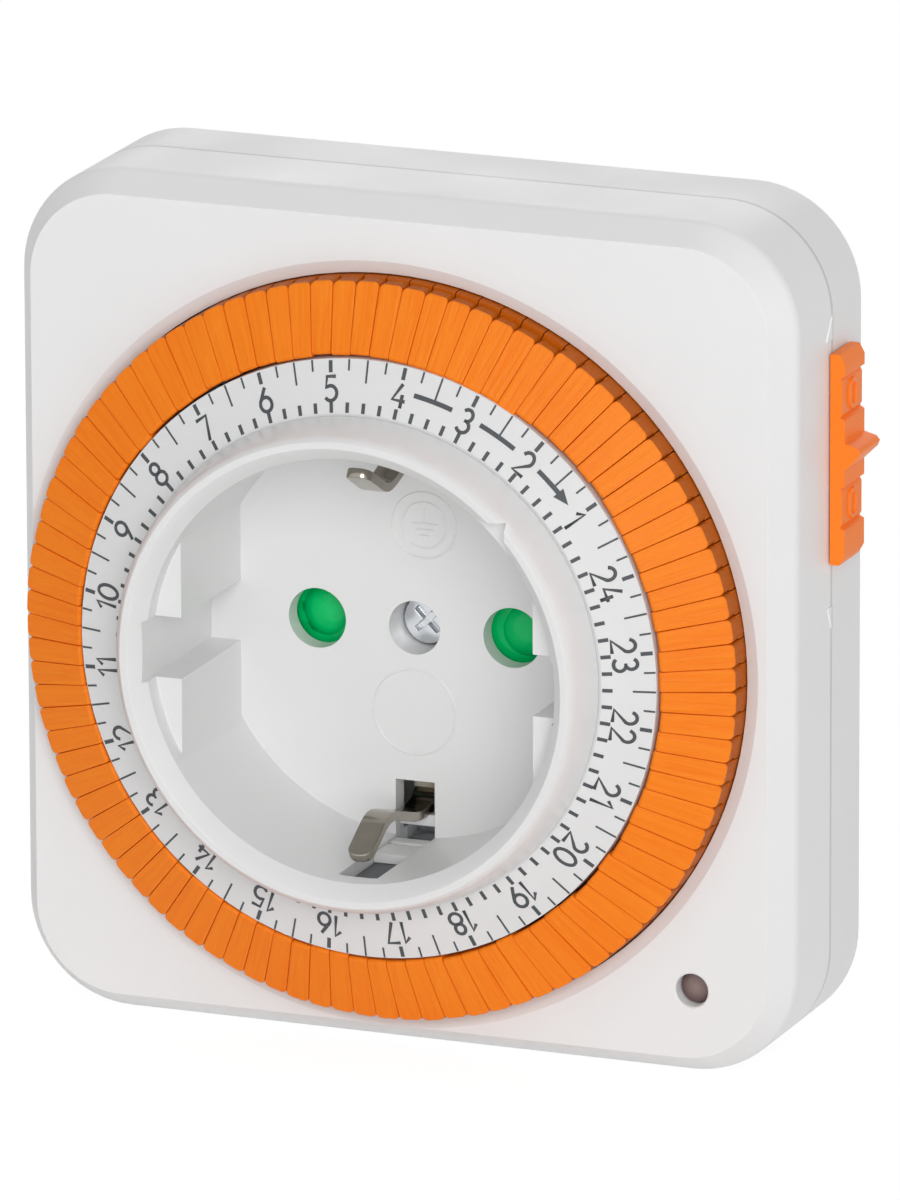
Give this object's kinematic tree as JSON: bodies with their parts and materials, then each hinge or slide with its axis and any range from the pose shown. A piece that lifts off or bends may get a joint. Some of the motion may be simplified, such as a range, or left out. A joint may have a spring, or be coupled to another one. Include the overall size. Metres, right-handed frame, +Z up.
{
  "type": "plug-in timer switch",
  "caption": "Plug-in timer switch: square white case with a round earthed socket inside a 24-hour dial ring of orange switching segments, side override slide and rear plug.",
  "frame": {"origin": "centre of the flat end face of the rear plug body, between its two pins", "axes": "+X to the right seen from the front, +Y to the rear along the plug pins, +Z up; the front faces -Y"},
  "size_m": [0.078, 0.0661, 0.079],
  "materials": {
    "white_case": "fine satin moulded",
    "rear_shell": "satin moulded",
    "socket_white": "gloss moulded",
    "dial_white": "satin moulded, printed scale",
    "orange": "satin moulded",
    "green": "satin moulded",
    "gear_acetal": "acetal",
    "black_plastic": "fibre-filled",
    "button_red": "moulded",
    "grey_plastic": "fibre-filled",
    "nickel": "nickel plated",
    "zinc_steel": "zinc plated",
    "spring_steel": "drawn",
    "brass": "stamped",
    "motor_steel": "deep drawn can",
    "lens_tint": "tinted polycarbonate",
    "lamp_glass": "clear tube",
    "resistor_tan": "lacquered"
  },
  "bodies": {
    "timer": {"front_housing": "white_case", "rear_housing": "rear_shell", "socket_insert": "socket_white", "shutter_spring": "spring_steel", "centre_screw": "zinc_steel", "earth_clip_top": "nickel", "earth_clip_bottom": "nickel", "earth_bridge": "nickel", "plug_earth_top": "nickel", "plug_earth_bottom": "nickel", "plug_pin_line": "nickel", "plug_pin_neutral": "nickel", "pin_bridge": "grey_plastic", "contact_neutral": "brass", "contact_load": "brass", "busbar_line": "brass", "idler_axle": "zinc_steel", "motor_can": "motor_steel", "chassis_plate": "zinc_steel", "switch_body": "black_plastic", "lever_pin": "zinc_steel", "lever_spring": "spring_steel", "slide_spring": "spring_steel", "indicator_lens": "lens_tint", "neon_lamp": "lamp_glass", "lamp_holder": "socket_white", "resistor": "resistor_tan", "case_screws": "zinc_steel"},
    "dial": {"dial_ring": "dial_white", "switching_segments": "orange"},
    "segment_q1": {"segment_q1": "orange"},
    "segment_q2": {"segment_q2": "orange"},
    "segment_q3": {"segment_q3": "orange"},
    "segment_q4": {"segment_q4": "orange"},
    "idler": {"idler_gear": "gear_acetal"},
    "motor_output": {"motor_pinion": "brass"},
    "switch_lever": {"switch_lever": "black_plastic"},
    "switch_plunger": {"switch_plunger": "button_red"},
    "override_slide": {"override_slide": "orange"},
    "shutter": {"shutter": "green"}
  },
  "joints": [
    {"name": "dial_turn", "type": "hinge", "parent": "timer", "child": "dial", "pos_m": [0, 0, 0], "axis": [0, 1, 0], "continuous": true},
    {"name": "segment_q1_press", "type": "slide", "parent": "dial", "child": "segment_q1", "axis": [0, 1, 0], "range_m": [0, 0.002]},
    {"name": "segment_q2_press", "type": "slide", "parent": "dial", "child": "segment_q2", "axis": [0, 1, 0], "range_m": [0, 0.002]},
    {"name": "segment_q3_press", "type": "slide", "parent": "dial", "child": "segment_q3", "axis": [0, 1, 0], "range_m": [0, 0.002]},
    {"name": "segment_q4_press", "type": "slide", "parent": "dial", "child": "segment_q4", "axis": [0, 1, 0], "range_m": [0, 0.002]},
    {"name": "idler_spin", "type": "hinge", "parent": "timer", "child": "idler", "pos_m": [-0.01805, 0, 0.02151], "axis": [0, 1, 0], "continuous": true},
    {"name": "motor_spin", "type": "hinge", "parent": "timer", "child": "motor_output", "pos_m": [-0.01666, 0, 0.02939], "axis": [0, 1, 0], "continuous": true},
    {"name": "lever_rock", "type": "hinge", "parent": "timer", "child": "switch_lever", "pos_m": [0.0305, -0.0278, 0.008], "axis": [1, 0, 0], "range_deg": [0, 6], "stiffness_Nm_per_rad": 0.0005, "springref_deg": -5.73, "deforming": ["lever_spring"]},
    {"name": "plunger_press", "type": "slide", "parent": "timer", "child": "switch_plunger", "axis": [0, 1, 0], "range_m": [0, 0.00157]},
    {"name": "override_move", "type": "slide", "parent": "timer", "child": "override_slide", "axis": [0, 0, 1], "range_m": [-0.0028, 0]},
    {"name": "shutter_turn", "type": "hinge", "parent": "timer", "child": "shutter", "pos_m": [0, 0, 0], "axis": [0, 1, 0], "range_deg": [0, 38], "stiffness_Nm_per_rad": 0.002, "springref_deg": -11.46, "deforming": ["shutter_spring"]}
  ],
  "couplings": [
    {"joint": "idler_spin", "follows": "dial_turn", "ratio": -8},
    {"joint": "motor_spin", "follows": "dial_turn", "ratio": 24},
    {"joint": "lever_rock", "follows": "plunger_press", "rad_per_m": 66.667}
  ]
}
